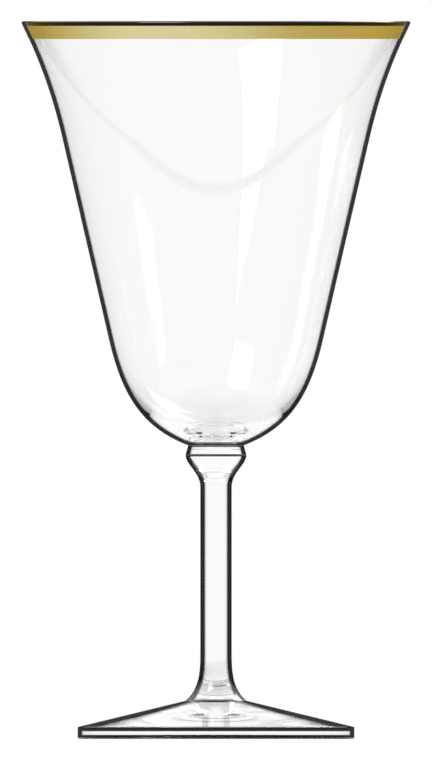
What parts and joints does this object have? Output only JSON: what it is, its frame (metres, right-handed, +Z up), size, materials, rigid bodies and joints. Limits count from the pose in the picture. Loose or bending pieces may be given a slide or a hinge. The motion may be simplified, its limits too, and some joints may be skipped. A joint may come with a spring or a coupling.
{
  "type": "water goblet",
  "caption": "Stemmed water goblet in clear crystal with a flared bowl, a plain round stem, a sloping foot and a fired gold rim.",
  "frame": {"origin": "centre of the circle that the foot stands on", "axes": "+Z up along the stem's axis towards the rim; the part is round, so +X and +Y are alike and -Y is taken as the front"},
  "size_m": [0.0978, 0.0978, 0.18],
  "materials": {
    "bowl_glass": "gloss",
    "stem_glass": "gloss",
    "rim_gold": "gloss"
  },
  "bodies": {
    "root": {"gold_rim": "rim_gold", "bowl": "bowl_glass", "collar": "stem_glass", "stem": "stem_glass", "foot": "stem_glass"}
  },
  "joints": []
}
